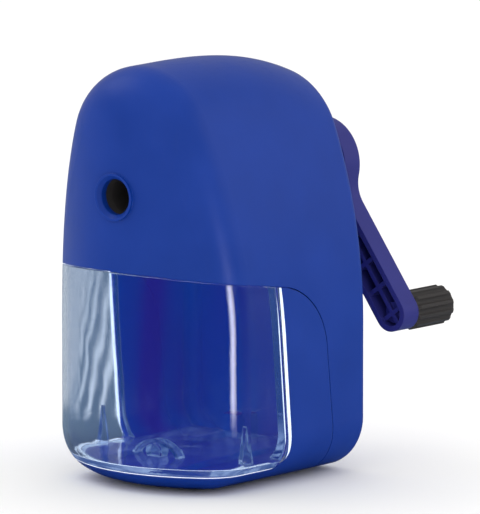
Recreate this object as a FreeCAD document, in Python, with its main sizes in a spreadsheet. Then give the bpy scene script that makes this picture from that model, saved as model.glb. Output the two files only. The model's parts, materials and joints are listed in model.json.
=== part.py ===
import FreeCAD, Part
import math
import os
import Sketcher
from FreeCAD import Placement, Rotation, Vector

# Desk pencil sharpener with a hand crank, a self-feeding chuck and a clear shavings drawer.
# Frame: +X to the right seen from the front, -Y towards the pencil hole, +Z up.
# Origin: on the desk, under the middle of the body. Millimetres throughout.

SIZES = [
    # the body
    ("body_height", 112.0, "over the rubber pad"),
    ("body_width", 61.6, "widest, across the lower body"),
    ("body_depth", 68.0, "front apex to back face"),
    ("pad_rise", 0.8, "how far the rubber pad stands below the base"),
    ("wall", 2.2, "moulded wall"),
    ("arch_radius", 22.0, "top of the arch"),
    ("wide_height", 40.0, "where the sides turn vertical"),
    ("corner_radius", 14.0, "lower corners seen from the front"),
    ("back_drop", 7.5, "how far the crown falls towards the back"),
    ("front_radius", 41.0, "bowed front seen from above"),
    ("blend_radius", 8.0, "front to side seen from above"),
    ("plan_spread", 2.6, "plan outline outside the side wall"),
    ("front_round", 12.5, "front rim rounding"),
    ("back_round", 3.5, "back rim rounding"),
    ("axis_height", 78.5, "pencil and crank axis above the desk"),
    # the split lines seen from the side
    ("split_front", 58.8, "top of the drawer at the front apex"),
    ("split_slope", 0.15, "fall of that line per millimetre of depth"),
    ("split_corner_y", 14.8, "where the line would turn down"),
    ("split_foot_y", 21.1, "where the line meets the desk"),
    ("split_round", 20.0, "rounding of that turn"),
    ("seam", 0.25, "gap along a split line"),
    ("drawer_edge_top", -2.0, "rear edge of the clear front, top"),
    ("drawer_edge_low", 2.4, "rear edge of the clear front, bottom"),
    # base and drawer
    ("floor_top", 4.0, "top of the base floor"),
    ("lip_top", 4.9, "top of the lip under the drawer"),
    ("floor_rise", 0.8, "drawer floor above the lower edge of the clear front"),
    ("drawer_wall", 1.8, "clear front wall"),
    ("tub_inset", 2.9, "rear tub inside the body surface"),
    ("tub_wall", 1.6, "rear tub wall"),
    ("tub_back", 26.0, "back of the tub"),
    ("edge_web", 1.3, "web that joins the clear front to the tub"),
    ("catch_y", -16.0, "middle of the arched rib in the drawer"),
    ("catch_z", 2.8, "centre of the arched rib above the desk"),
    ("catch_radius", 9.5, "outside of the arched rib"),
    ("boss_z", 8.8, "round boss under the arched rib, above the desk"),
    ("boss_radius", 2.4, "that boss"),
    ("rib", 1.2, "thin ribs of the drawer"),
    ("gusset_x", 24.0, "mid-plane to a gusset in the drawer"),
    ("gusset_y", -10.3, "middle of a gusset"),
    ("gusset_height", 10.0, "gusset above the drawer floor"),
    # rubber pad
    ("pad_half", 14.0, "rubber pad, half its width"),
    ("pad_front", -17.0, "front of the rubber pad"),
    ("pad_back", 22.0, "back of the rubber pad"),
    ("pad_corner", 4.0, "corners of the rubber pad"),
    ("pad_top", 2.2, "top of the rubber pad above the desk"),
    # rear cover
    ("cover_inset", 5.0, "cover inside the back rim"),
    ("fit_gap", 0.15, "gap round the cover and the base tongue"),
    ("cover_boss", 8.0, "bearing boss radius"),
    ("cover_boss_back", 41.4, "back of the bearing boss"),
    ("pillar_radius", 3.0, "pillars that carry the ring gear"),
    # pencil path
    ("hole_radius", 4.75, "hole in the front"),
    ("guide_radius", 4.5, "guide bore, for pencils up to 8 mm"),
    ("bezel_radius", 6.3, "raised ring round the hole"),
    ("bezel_mouth", 5.7, "mouth of that ring"),
    ("bezel_rise", 0.5, "how far that ring stands out"),
    ("nose_radius", 5.5, "guide nose that carries the feed cover"),
    # cutter and gears
    ("cone_angle", 10.0, "half angle of the sharpened point, degrees"),
    ("apex_y", 52.0, "where the cutter axis meets the crank axis"),
    ("cutter_radius", 5.0, "over the helical teeth"),
    ("cutter_front", 52.8, "apex to the front end of the cutter"),
    ("cutter_back", 26.8, "apex to the back end of the cutter"),
    ("axle_radius", 1.5, "cutter axle"),
    ("running", 0.05, "radial running clearance"),
    ("gear_inner", 54.0, "apex to the inner end of the teeth"),
    ("gear_face", 5.0, "length of the teeth"),
    ("ring_radius", 18.5, "outside of the ring gear"),
    # chuck
    ("head_radius", 15.5, "feed head"),
    ("post_orbit", 13.2, "crank axis to the posts of the feed head"),
    ("post_radius", 1.9, "posts of the feed head"),
    ("arm_pitch", 12.5, "crank axis to a feed arm pivot"),
    ("roller_orbit", 5.75, "crank axis to a roller, closed"),
    ("roller_radius", 3.0, "feed roller"),
    ("roller_lead", 16.0, "skew of the rollers, degrees"),
    ("roller_angle", 55.0, "a closed roller seen from the crank axis, its pivot at 0 degrees"),
    ("feed_pin", 1.0, "pin of a feed arm"),
    ("arm_eye", 2.3, "half width of a feed arm"),
    ("roller_axle", 0.8, "roller axle"),
    ("arm_front", -20.3, "front of the feed arms"),
    ("arm_back", -11.3, "back of the feed arms"),
    # crank
    ("shaft_radius", 2.5, "crank shaft"),
    ("crank_angle", 36.0, "crank from straight down, degrees"),
    ("crank_length", 47.0, "crank axis to knob axis"),
    ("crank_front", 46.4, "open side of the crank"),
    ("crank_back", 52.6, "smooth side of the crank"),
    ("hub_radius", 12.2, "crank hub"),
    ("arm_radius", 4.9, "half width of the crank arm"),
    ("crank_wall", 1.5, "rim and skin of the crank"),
    ("knob_radius", 5.3, "knob over the flutes"),
    ("knob_length", 15.3, "knob"),
    ("pin_radius", 1.6, "knob pin"),
]

RING_TEETH = 30
PINION_TEETH = 10
CUTTER_TEETH = 16
KNOB_FLUTES = 12
FEED_ARMS = 3
SPRING_TURNS = 3

doc = FreeCAD.newDocument("pencil_sharpener")
sheet = doc.addObject("Spreadsheet::Sheet", "dims")
for row, (alias, size, meaning) in enumerate(SIZES, start=1):
    sheet.set(f"A{row}", meaning)
    sheet.set(f"B{row}", str(size))
    sheet.setAlias(f"B{row}", alias)
doc.recompute()


class Dim:
    """A size as a number, for drawing, and as an expression, for binding to the sheet."""

    def __init__(self, value, text):
        self.value = value
        self.text = text

    def __add__(self, other):
        other = as_dim(other)
        return Dim(self.value + other.value, f"({self.text} + {other.text})")

    def __sub__(self, other):
        other = as_dim(other)
        return Dim(self.value - other.value, f"({self.text} - {other.text})")

    def __mul__(self, other):
        other = as_dim(other)
        return Dim(self.value * other.value, f"({self.text} * {other.text})")

    def __truediv__(self, other):
        other = as_dim(other)
        return Dim(self.value / other.value, f"({self.text} / {other.text})")

    def __neg__(self):
        return Dim(-self.value, f"(-1 * {self.text})")

    def __radd__(self, other):
        return as_dim(other) + self

    def __rsub__(self, other):
        return as_dim(other) - self

    def __rmul__(self, other):
        return as_dim(other) * self


def as_dim(thing):
    return thing if isinstance(thing, Dim) else Dim(float(thing), str(float(thing)))


class Sizes:
    """Every alias of the sheet as an attribute."""

    def __getattr__(self, alias):
        return Dim(float(sheet.get(alias)), f"dims.{alias}")


d = Sizes()


def bind(obj, prop, size):
    """Set a property from a size and keep it bound to the sheet."""
    obj.setExpression(prop, as_dim(size).text)


# ---------------------------------------------------------------- sketches

PLANES = {
    "XY": Rotation(),
    "XZ": Rotation(Vector(1, 0, 0), 90),
    "YZ": Rotation(Vector(1, 1, 1), 120),
}
OUTWARD = {"XY": 1, "XZ": -1, "YZ": 1}
AXIS = {"XY": "z", "XZ": "y", "YZ": "x"}


def loose_sketch(name, plane, at=0.0):
    """A sketch outside any body, on a plane parallel to an origin plane."""
    sketch = doc.addObject("Sketcher::SketchObject", name)
    sketch.Placement = Placement(Vector(), PLANES[plane])
    bind(sketch, f".Placement.Base.{AXIS[plane]}", at)
    return sketch


def body_sketch(body, name, plane, at=0.0):
    """A sketch in a body, on a plane parallel to one of its origin planes."""
    sketch = body.newObject("Sketcher::SketchObject", name)
    origin_plane = [f for f in body.Origin.OriginFeatures if f.Role == f"{plane}_Plane"][0]
    sketch.AttachmentSupport = [(origin_plane, "")]
    sketch.MapMode = "FlatFace"
    bind(sketch, ".AttachmentOffset.Base.z", as_dim(at) * OUTWARD[plane])
    return sketch


def constrain(sketch, kind, *args, size=None):
    """Add a constraint; one with a size is bound to the sheet."""
    if size is None:
        sketch.addConstraint(Sketcher.Constraint(kind, *args))
        return
    size = as_dim(size)
    index = sketch.addConstraint(Sketcher.Constraint(kind, *args, size.value))
    if "dims." in size.text:
        sketch.setExpression(f"Constraints[{index}]", size.text)


def fix_point(sketch, geometry, point, x, y):
    constrain(sketch, "DistanceX", -1, 1, geometry, point, size=x)
    constrain(sketch, "DistanceY", -1, 1, geometry, point, size=y)


def polygon(sketch, points):
    """A closed polygon with every corner placed from the sketch's origin."""
    corners = [Vector(as_dim(x).value, as_dim(y).value, 0) for x, y in points]
    first = sketch.GeometryCount
    count = len(corners)
    for i in range(count):
        sketch.addGeometry(Part.LineSegment(corners[i], corners[(i + 1) % count]), False)
    for i, (x, y) in enumerate(points):
        constrain(sketch, "Coincident", first + i, 2, first + (i + 1) % count, 1)
        fix_point(sketch, first + i, 1, x, y)


def rectangle(sketch, x0, y0, x1, y1):
    polygon(sketch, [(x0, y0), (x1, y0), (x1, y1), (x0, y1)])


def circle(sketch, x, y, radius):
    x, y, radius = as_dim(x), as_dim(y), as_dim(radius)
    shape = Part.Circle(Vector(x.value, y.value, 0), Vector(0, 0, 1), radius.value)
    index = sketch.addGeometry(shape, False)
    fix_point(sketch, index, 3, x, y)
    constrain(sketch, "Radius", index, size=radius)


def slot(sketch, x, top, bottom, radius):
    """An upright slot: two half circles joined by straight sides."""
    x, top, bottom, radius = as_dim(x), as_dim(top), as_dim(bottom), as_dim(radius)
    left, right = x.value - radius.value, x.value + radius.value
    upper = Part.Circle(Vector(x.value, top.value, 0), Vector(0, 0, 1), radius.value)
    lower = Part.Circle(Vector(x.value, bottom.value, 0), Vector(0, 0, 1), radius.value)
    first = sketch.GeometryCount
    sketch.addGeometry(Part.ArcOfCircle(upper, 0, math.pi), False)
    sketch.addGeometry(Part.LineSegment(Vector(left, top.value, 0), Vector(left, bottom.value, 0)), False)
    sketch.addGeometry(Part.ArcOfCircle(lower, math.pi, 2 * math.pi), False)
    sketch.addGeometry(Part.LineSegment(Vector(right, bottom.value, 0), Vector(right, top.value, 0)), False)
    for i in range(4):
        constrain(sketch, "Tangent", first + i, 2, first + (i + 1) % 4, 1)
    fix_point(sketch, first, 3, x, top)
    fix_point(sketch, first + 2, 3, x, bottom)
    constrain(sketch, "Radius", first, size=radius)


# ---------------------------------------------------------------- features


def new_body(label):
    body = doc.addObject("PartDesign::Body", label)
    body.Label = label
    return body


def pad(body, name, plane, start, end, draw):
    """Pad a profile between two positions along the plane's axis, end above start."""
    start, end = as_dim(start), as_dim(end)
    base = end if OUTWARD[plane] < 0 else start
    sketch = body_sketch(body, f"{name}_profile", plane, base)
    draw(sketch)
    feature = body.newObject("PartDesign::Pad", name)
    feature.Profile = sketch
    bind(feature, "Length", end - start)
    return feature


def pocket(body, name, plane, start, end, draw):
    """Cut a profile between two positions along the plane's axis, end above start."""
    start, end = as_dim(start), as_dim(end)
    base = start if OUTWARD[plane] < 0 else end
    sketch = body_sketch(body, f"{name}_profile", plane, base)
    draw(sketch)
    feature = body.newObject("PartDesign::Pocket", name)
    feature.Profile = sketch
    bind(feature, "Length", end - start)
    return feature


def disc(body, name, start, end, radius, x=0.0, z=0.0):
    """Add a round boss along Y."""
    return pad(body, name, "XZ", start, end, lambda sketch: circle(sketch, x, z, radius))


def hole(body, name, start, end, radius, x=0.0, z=0.0):
    """Cut a round hole along Y."""
    return pocket(body, name, "XZ", start, end, lambda sketch: circle(sketch, x, z, radius))


def turned(label, outline):
    """A body turned about its own Y axis from (radius, y) points."""
    body = new_body(label)
    sketch = body_sketch(body, f"{label}_section", "XY")
    polygon(sketch, outline)
    feature = body.newObject("PartDesign::Revolution", f"{label}_turned")
    feature.Profile = sketch
    feature.ReferenceAxis = (sketch, ["V_Axis"])
    feature.Angle = 360
    return body


def on_axis(obj):
    """Put a sub-part drawn about its own origin on the crank axis."""
    bind(obj, ".Placement.Base.z", d.axis_height)


def polar_copies(body, feature, name, count):
    """Repeat a feature evenly about the body's Y axis."""
    pattern = body.newObject("PartDesign::PolarPattern", name)
    pattern.Originals = [feature]
    axis = [f for f in body.Origin.OriginFeatures if f.Role == "Y_Axis"][0]
    pattern.Axis = (axis, [""])
    pattern.Angle = 360
    pattern.Occurrences = count
    body.Tip = pattern
    return pattern


def box(name, x0, x1, y0, y1, z0, z1):
    block = doc.addObject("Part::Box", name)
    for size, low, high, axis in (
        ("Length", x0, x1, "x"),
        ("Width", y0, y1, "y"),
        ("Height", z0, z1, "z"),
    ):
        low, high = as_dim(low), as_dim(high)
        bind(block, size, high - low)
        bind(block, f".Placement.Base.{axis}", low)
    return block


def rod(name, plane, u, v, start, end, radius):
    """A cylinder along the plane's axis between two positions."""
    cylinder = doc.addObject("Part::Cylinder", name)
    axis = AXIS[plane]
    turns = {"z": Rotation(), "y": Rotation(Vector(1, 0, 0), -90), "x": Rotation(Vector(0, 1, 0), 90)}
    cylinder.Placement = Placement(Vector(), turns[axis])
    places = {"z": ("x", "y"), "y": ("x", "z"), "x": ("y", "z")}[axis]
    bind(cylinder, "Radius", radius)
    bind(cylinder, "Height", as_dim(end) - start)
    bind(cylinder, f".Placement.Base.{axis}", start)
    bind(cylinder, f".Placement.Base.{places[0]}", u)
    bind(cylinder, f".Placement.Base.{places[1]}", v)
    return cylinder


def extrusion(name, sketch, forward, back=0.0):
    block = doc.addObject("Part::Extrusion", name)
    block.Base = sketch
    block.DirMode = "Normal"
    block.Solid = True
    bind(block, "LengthFwd", forward)
    bind(block, "LengthRev", back)
    return block


def fuse(name, *shapes):
    result = doc.addObject("Part::MultiFuse", name)
    result.Shapes = list(shapes)
    return result


def common(name, *shapes):
    result = doc.addObject("Part::MultiCommon", name)
    result.Shapes = list(shapes)
    return result


def cut(name, base, *tools):
    result = doc.addObject("Part::Cut", name)
    result.Base = base
    result.Tool = tools[0] if len(tools) == 1 else fuse(f"{name}_tools", *tools)
    return result


def rounded(name, base, chosen, radius):
    """Round the edges of a shape that `chosen` picks out."""
    doc.recompute()
    result = doc.addObject("Part::Fillet", name)
    result.Base = base
    edges = enumerate(base.Shape.Edges, start=1)
    result.Edges = [(i, radius.value, radius.value) for i, edge in edges if chosen(edge)]
    return result


def copies(label, pattern, placements):
    """One sub-part that holds a copy of `pattern` at each placement."""
    links = []
    for i, placement in enumerate(placements, start=1):
        link = doc.addObject("App::Link", f"{label}_{i}")
        link.LinkedObject = pattern
        link.LinkTransform = False
        link.Placement = placement
        links.append(link)
    group = doc.addObject("Part::Compound", label)
    group.Links = links
    group.Label = label
    return group


def at(x, y, z, turn=Rotation()):
    return Placement(Vector(*(as_dim(c).value for c in (x, y, z))), turn)


# ---------------------------------------------------------------- bevel gear cones
# Ring and pinion are cones with one apex, the point where the two axes meet.

ratio = RING_TEETH / PINION_TEETH
cone = math.radians(d.cone_angle.value)
pinion_cone = math.atan(math.sin(cone) / (ratio - math.cos(cone)))
ring_cone = pinion_cone + cone

# ---------------------------------------------------------------- body surface

front = -d.body_depth / 2
back = d.body_depth / 2
half_width = d.body_width / 2


def arch(sketch, half, top, low, inset):
    """Front view of the body: arched top, leaning sides, rounded lower corners."""
    half, top, low = half - inset, top - inset, low + inset
    crown, corner = d.arch_radius - inset, d.corner_radius - inset
    wide = d.wide_height
    w, h, z, r, c = half.value, top.value, low.value, crown.value, corner.value
    # side arc: centre level with the widest point, tangent inside to the crown arc
    rise = h - r - wide.value
    side = (w * w + rise * rise - r * r) / (2 * (w - r))
    lean = math.atan2(rise, side - w)
    x_join, z_join = w - side + side * math.cos(lean), wide.value + side * math.sin(lean)

    def arc(cx, cz, radius, start, end):
        shape = Part.Circle(Vector(cx, cz, 0), Vector(0, 0, 1), radius)
        sketch.addGeometry(Part.ArcOfCircle(shape, start, end), False)

    def line(x0, z0, x1, z1):
        sketch.addGeometry(Part.LineSegment(Vector(x0, z0, 0), Vector(x1, z1, 0)), False)

    quarter = math.pi / 2
    line(c - w, z, w - c, z)
    arc(w - c, z + c, c, -quarter, 0)
    line(w, z + c, w, wide.value)
    arc(w - side, wide.value, side, 0, lean)
    arc(0, h - r, r, lean, math.pi - lean)
    arc(side - w, wide.value, side, math.pi - lean, math.pi)
    line(-w, wide.value, -w, z + c)
    arc(c - w, z + c, c, math.pi, 3 * quarter)
    for i in range(8):
        constrain(sketch, "Tangent", i, 2, (i + 1) % 8, 1)
    constrain(sketch, "Horizontal", 0)
    constrain(sketch, "Vertical", 2)
    constrain(sketch, "Vertical", 6)
    constrain(sketch, "DistanceY", -1, 1, 0, 1, size=low)
    for corner_arc in (1, 7):
        constrain(sketch, "Radius", corner_arc, size=corner)
    fix_point(sketch, 2, 2, half, wide)
    fix_point(sketch, 6, 1, -half, wide)
    fix_point(sketch, 4, 3, 0, top - crown)
    constrain(sketch, "Radius", 4, size=crown)


def plan(sketch, inset):
    """Top view of the body: bowed front, blended into straight sides, flat back."""
    bow, blend = d.front_radius - inset, d.blend_radius - inset
    half = half_width + d.plan_spread - inset
    tip, rear = front + inset, back - inset
    w, b, f = half.value, blend.value, bow.value
    centre = tip.value + f
    reach = math.acos((w - b) / (f - b))
    x, y = w - b, centre - (f - b) * math.sin(reach)
    turn = -reach

    def arc(cx, cy, radius, start, end):
        shape = Part.Circle(Vector(cx, cy, 0), Vector(0, 0, 1), radius)
        sketch.addGeometry(Part.ArcOfCircle(shape, start, end), False)

    def line(x0, y0, x1, y1):
        sketch.addGeometry(Part.LineSegment(Vector(x0, y0, 0), Vector(x1, y1, 0)), False)

    arc(0, centre, f, -math.pi + reach, turn)
    arc(x, y, b, turn, 0)
    line(w, y, w, rear.value)
    line(w, rear.value, -w, rear.value)
    line(-w, rear.value, -w, y)
    arc(-x, y, b, -math.pi, -math.pi + reach)
    for i, j in ((0, 1), (1, 2), (4, 5), (5, 0)):
        constrain(sketch, "Tangent", i, 2, j, 1)
    for i, j in ((2, 3), (3, 4)):
        constrain(sketch, "Coincident", i, 2, j, 1)
    fix_point(sketch, 0, 3, 0, tip + bow)
    constrain(sketch, "Radius", 0, size=bow)
    for blend_arc in (1, 5):
        constrain(sketch, "Radius", blend_arc, size=blend)
    constrain(sketch, "Vertical", 2)
    constrain(sketch, "Vertical", 4)
    fix_point(sketch, 3, 1, half, rear)
    fix_point(sketch, 3, 2, -half, rear)


def body_surface(name, inset, rims=True):
    """The solid bounded by the body's outer surface moved inwards by `inset`."""
    inset = as_dim(inset)
    stations = [
        (front - 2, d.body_height, half_width),
        (front + 24, d.body_height, half_width),
        (back - 22, d.body_height - d.back_drop / 8, half_width),
        (back + 2, d.body_height - d.back_drop, half_width - 0.5),
    ]
    sections = []
    for i, (y, top, half) in enumerate(stations):
        section = loose_sketch(f"{name}_arch_{i}", "XZ", y)
        arch(section, half, top, d.pad_rise, inset)
        sections.append(section)
    loft = doc.addObject("Part::Loft", f"{name}_loft")
    loft.Sections = sections
    loft.Solid = True
    outline = loose_sketch(f"{name}_plan", "XY")
    plan(outline, inset)
    column = extrusion(f"{name}_column", outline, d.body_height + 5, 5)
    block = common(f"{name}_block", loft, column)
    if not rims:
        return block
    rear = (back - inset).value

    def is_back_rim(edge):
        return all(abs(v.Y - rear) < 1e-4 for v in edge.Vertexes)

    softened = rounded(f"{name}_back", block, is_back_rim, d.back_round - inset * 0.5)
    doc.recompute()

    def is_front_face(face):
        surface = face.Surface
        return isinstance(surface, Part.Cylinder) and abs(surface.Axis.z) > 0.999

    shape = softened.Shape

    def is_front_rim(edge):
        owners = [is_front_face(face) for face in shape.ancestorsOfType(edge, Part.Face)]
        return owners.count(True) == 1 and edge.CenterOfMass.y < rear - 10

    return rounded(name, softened, is_front_rim, d.front_round - inset)


outer = body_surface("outer", 0.0)
inner = body_surface("inner", d.wall)
shell = cut("shell", outer, inner)

# ---------------------------------------------------------------- body mouldings


def side_block(name, points, spread=None):
    """A slab across the body with the given side outline of (y, z) points."""
    sketch = loose_sketch(f"{name}_side", "YZ")
    polygon(sketch, points)
    reach = spread or d.body_width
    return extrusion(name, sketch, reach, reach)


def split_z(y):
    """Height of the drawer's top line at depth y."""
    return d.split_front - (as_dim(y) - front) * d.split_slope


def near(edge, y, z):
    """True for an edge along X through (y, z)."""
    y, z = as_dim(y).value, as_dim(z).value
    return all(abs(v.Y - y) < 1e-3 and abs(v.Z - z) < 1e-3 for v in edge.Vertexes)


def lower_block(name, shrink):
    """Everything below and in front of the line that parts housing and base."""
    far = front - 12
    turn_y = d.split_corner_y - shrink
    turn_z = split_z(d.split_corner_y) - shrink
    points = [
        (far, -5),
        (d.split_foot_y - shrink, -5),
        (turn_y, turn_z),
        (far, split_z(far) - shrink),
    ]
    raw = side_block(f"{name}_raw", points)
    return rounded(name, raw, lambda e: near(e, turn_y, turn_z), d.split_round)


def drawer_block(name, grow):
    """The clear front of the drawer seen from the side."""
    far = front - 12
    low = d.lip_top + d.seam - grow
    points = [
        (far, low),
        (d.drawer_edge_low + grow, low),
        (d.drawer_edge_top + grow, split_z(d.drawer_edge_top) - d.seam + grow),
        (far, split_z(far) - d.seam + grow),
    ]
    raw = side_block(f"{name}_raw", points)
    return rounded(name, raw, lambda e: near(e, d.drawer_edge_low + grow, low), d.tub_wall * 3)


# rear opening and cover share one outline
def back_plate(name, inset, start, end):
    sketch = loose_sketch(f"{name}_outline", "XZ", start)
    arch(sketch, half_width - 0.5, d.body_height - d.back_drop, d.pad_rise, inset)
    return extrusion(name, sketch, 0, as_dim(end) - start)


axis_z = d.axis_height
pillar_spots = [(0.0, 19.8), (17.6, -11.5), (-17.6, -11.5)]
cover_screw_spots = [(21.5, 58.0), (-21.5, 58.0), (11.8, 91.5), (-11.8, 91.5)]
base_screw_spots = [(9.5, 29.0), (-9.5, 29.0)]
guide_screw_spots = [(9.2, 0.0), (-9.2, 0.0)]

# Upper housing: front, sides and top in one moulding, open underneath and behind.
lower = lower_block("lower", 0.0)
plate_front = back - d.wall
rear_opening = back_plate("rear_opening", d.cover_inset, plate_front - 1, back + 2)
base_opening = box("base_opening", -16.0, 16.0, 5, plate_front, -1, d.floor_top + 2)
housing_skin = cut("housing_skin", shell, lower, rear_opening, base_opening)
guide_seat = common(
    "guide_seat",
    rod("guide_boss", "XZ", 0, axis_z, front - 1, front + 5, 12.5),
    outer,
)
bezel = rod("bezel", "XZ", 0, axis_z, front - d.bezel_rise, front + 2, d.bezel_radius)
bosses = []
for i, (x, z) in enumerate(cover_screw_spots, start=1):
    bosses.append(rod(f"cover_boss_{i}", "XZ", x, z, plate_front - 9, plate_front, 3.0))
    web_start, web_end = (x, x + 9.5) if x > 0 else (x - 9.5, x)
    bosses.append(box(f"boss_web_{i}", web_start, web_end, plate_front - 9, plate_front, z - 1, z + 1))
inside_bosses = common("inside_bosses", fuse("boss_group", *bosses), outer)
funnel = doc.addObject("Part::Cone", "funnel")
funnel.Placement = Placement(Vector(), Rotation(Vector(1, 0, 0), -90))
bind(funnel, "Radius1", d.bezel_mouth)
bind(funnel, "Radius2", d.hole_radius)
bind(funnel, "Height", 1.1)
bind(funnel, ".Placement.Base.y", front - d.bezel_rise)
bind(funnel, ".Placement.Base.z", axis_z)
housing_holes = [
    funnel,
    rod("front_hole", "XZ", 0, axis_z, front - 1, front + 6, d.hole_radius),
    rod("guide_socket", "XZ", 0, axis_z, front + 2.4, front + 6, d.nose_radius + 0.25),
]
for i, (x, z) in enumerate(guide_screw_spots, start=1):
    housing_holes.append(rod(f"guide_pilot_{i}", "XZ", x, axis_z + z, front + 2.2, front + 6, 0.8))
for i, (x, z) in enumerate(cover_screw_spots, start=1):
    housing_holes.append(rod(f"cover_pilot_{i}", "XZ", x, z, plate_front - 8, plate_front + 1, 1.1))
housing_solid = fuse("housing_solid", housing_skin, guide_seat, bezel, inside_bosses)
upper_housing = cut("upper_housing", housing_solid, *housing_holes)

# Base frame: floor, lip under the drawer and the two cheeks beside it.
base_lower = lower_block("base_lower", d.seam)
drawer_opening = drawer_block("drawer_opening", d.seam)
cheeks = cut("cheeks", common("cheek_skin", shell, base_lower), drawer_opening)
floor_slab = box("floor_slab", -40, 40, -45, 30, -1, d.floor_top)
floor = common("floor", outer, base_lower, floor_slab)
tongue = box(
    "tongue", -16 + d.fit_gap, 16 - d.fit_gap, 5, plate_front - d.fit_gap, d.pad_rise, d.floor_top
)
drawer_low = d.lip_top + d.seam
drawer_base = drawer_low + d.floor_rise
rail_top = drawer_base - d.seam
rails = [box(f"rail_{i}", x, x + 1.5, -24, 26, 3, rail_top) for i, x in enumerate((-13.5, 12.0), start=1)]


def is_upright(edge):
    """True for an edge parallel to Z."""
    first, last = edge.Vertexes
    return abs(first.X - last.X) < 1e-3 and abs(first.Y - last.Y) < 1e-3


def pad_block(name, low, grow):
    """The rubber pad, or with `grow` the recess that it sits in."""
    half, corner = d.pad_half + grow, d.pad_corner + grow
    block = box(f"{name}_block", -half, half, d.pad_front - grow, d.pad_back + grow, low, d.pad_top)
    return rounded(name, block, is_upright, corner)


base_holes = [pad_block("pad_recess", -1, 0.1)]
for i, (x, y) in enumerate(base_screw_spots, start=1):
    base_holes.append(rod(f"base_clear_{i}", "XY", x, y, -1, 6, 1.6))
    base_holes.append(rod(f"base_sink_{i}", "XY", x, y, -1, 2.4, 2.85))
base_frame = cut("base_frame", fuse("base_solid", cheeks, floor, tongue, *rails), *base_holes)
rubber_pad = pad_block("rubber_pad", 0, 0.0)

# Rear cover: plate, bearing boss, three pillars for the ring gear and two base lugs.
pillar_front = d.apex_y - d.gear_inner * math.cos(ring_cone)
cover_plate = common(
    "cover_plate",
    outer,
    back_plate("cover_blank", d.cover_inset + d.fit_gap, plate_front, back + 2),
)
cover_parts = [
    cover_plate,
    rod("bearing_boss", "XZ", 0, axis_z, plate_front - 1.3, d.cover_boss_back, d.cover_boss),
]
cover_holes = [rod("bush_bore", "XZ", 0, axis_z, 20, 45, 4.5)]
for i, (x, z) in enumerate(pillar_spots, start=1):
    cover_parts.append(
        rod(f"pillar_{i}", "XZ", x, axis_z + z, pillar_front, plate_front, d.pillar_radius)
    )
    cover_holes.append(rod(f"pillar_pilot_{i}", "XZ", x, axis_z + z, -5, 9, 1.2))
for i, (x, y) in enumerate(base_screw_spots, start=1):
    lug = box(f"base_lug_{i}", x - 3.2, x + 3.2, 26.8, plate_front, d.floor_top + 0.1, 12)
    cover_parts.append(lug)
    cover_holes.append(rod(f"lug_pilot_{i}", "XY", x, y, 2, 11, 1.2))
for i, (x, z) in enumerate(cover_screw_spots, start=1):
    cover_holes.append(rod(f"cover_clear_{i}", "XZ", x, z, 30, 40, 1.5))
rear_cover = cut("rear_cover", fuse("cover_solid", *cover_parts), *cover_holes)

# Shavings drawer: clear front flush with the body, a tub behind it and a floor.
clear_block = drawer_block("clear_block", 0.0)
drawer_inner = body_surface("drawer_inner", d.drawer_wall)
tub_outer = body_surface("tub_outer", d.tub_inset, rims=False)
tub_inner = body_surface("tub_inner", d.tub_inset + d.tub_wall, rims=False)
clear_front = common("clear_front", cut("clear_skin", outer, drawer_inner), clear_block)
drawer_floor = common(
    "drawer_floor",
    fuse("floor_region", common("front_region", outer, clear_block), tub_outer),
    box("drawer_floor_slab", -40, 40, front - 2, d.tub_back, drawer_base, drawer_base + d.tub_wall),
)
tub_top = split_z(d.drawer_edge_top) - d.seam
web_low = (d.drawer_edge_low - d.edge_web, drawer_low)
web_top = (d.drawer_edge_top - d.edge_web, tub_top)
tub_walls = common(
    "tub_walls",
    cut("tub_skin", tub_outer, tub_inner),
    side_block("tub_region", [web_low, (d.tub_back, drawer_low), (d.tub_back, tub_top), web_top]),
    box("tub_above_floor", -40, 40, front, back, drawer_base, tub_top),
)
tub_end = common(
    "tub_end",
    tub_outer,
    box("tub_end_slab", -40, 40, d.tub_back - d.tub_wall, d.tub_back, drawer_base, tub_top),
)
edge_strip = side_block(
    "edge_strip",
    [web_low, (d.drawer_edge_low + 1, drawer_low), (d.drawer_edge_top + 1, tub_top), web_top],
)
drawer_edge = common("drawer_edge", cut("edge_skin", outer, tub_inner), clear_block, edge_strip)

# An arched rib with a round boss under it, and two gussets, stand on the drawer's floor.
rib_base = drawer_base + d.tub_wall / 2
catch_front = d.catch_y - d.rib
catch_back = d.catch_y + d.rib
catch_ring = cut(
    "catch_ring",
    rod("catch_outer", "XZ", 0, d.catch_z, catch_front, catch_back, d.catch_radius),
    rod("catch_inner", "XZ", 0, d.catch_z, catch_front - 1, catch_back + 1, d.catch_radius - d.rib),
)
catch_arch = common(
    "catch_arch",
    catch_ring,
    box("catch_room", -10, 10, catch_front - 1, catch_back + 1, rib_base, rib_base + 10),
)
catch_parts = [
    catch_arch,
    rod("catch_boss", "XZ", 0, d.boss_z, catch_front - d.rib, catch_back, d.boss_radius),
    box("catch_web", -d.rib / 2, d.rib / 2, catch_front, catch_back, rib_base, d.boss_z),
]
gussets = []
for side, x in (("left", -d.gusset_x - d.rib), ("right", d.gusset_x)):
    outline = loose_sketch(f"{side}_gusset_outline", "YZ", x)
    gusset_top = drawer_base + d.tub_wall + d.gusset_height
    polygon(
        outline,
        [(d.gusset_y - 2, rib_base), (d.gusset_y + 2, rib_base), (d.gusset_y, gusset_top)],
    )
    gussets.append(extrusion(f"{side}_gusset", outline, d.rib))
shavings_drawer = fuse(
    "shavings_drawer",
    clear_front, drawer_floor, tub_walls, tub_end, drawer_edge, *catch_parts, *gussets,
)

# ---------------------------------------------------------------- screws and small turned pieces


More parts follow.
